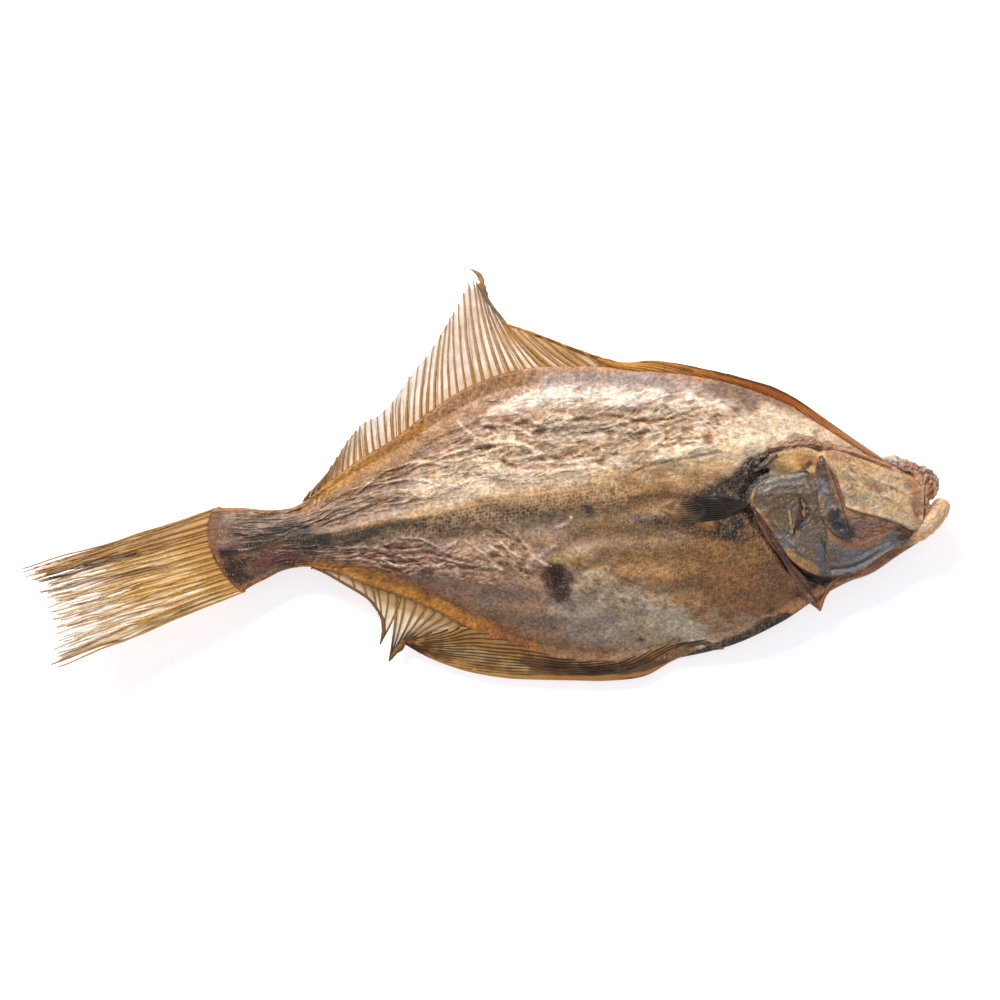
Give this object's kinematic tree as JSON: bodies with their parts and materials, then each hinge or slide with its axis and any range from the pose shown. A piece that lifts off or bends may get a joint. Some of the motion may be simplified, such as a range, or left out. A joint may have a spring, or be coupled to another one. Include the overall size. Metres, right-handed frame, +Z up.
{
  "type": "dried flounder",
  "caption": "Whole dried flatfish lying blind side up: flat oval body, shrivelled skin, sharp head with gill cover, raised back fin, folded belly fin and a long ragged tail fin.",
  "frame": {"origin": "on the flat spot of the eyed side that the fish rests on, under the middle of the fish's outline", "axes": "+X along the fish towards the mouth, +Y towards the back fin, +Z up out of the blind side"},
  "size_m": [0.2792, 0.1247, 0.0175],
  "materials": {
    "dried_skin": "satin",
    "fin_rays": "satin",
    "fin_web": "satin",
    "head_bone": "satin",
    "dried_eye": "gloss"
  },
  "bodies": {
    "root": {"flounder": "dried_skin"}
  },
  "joints": []
}
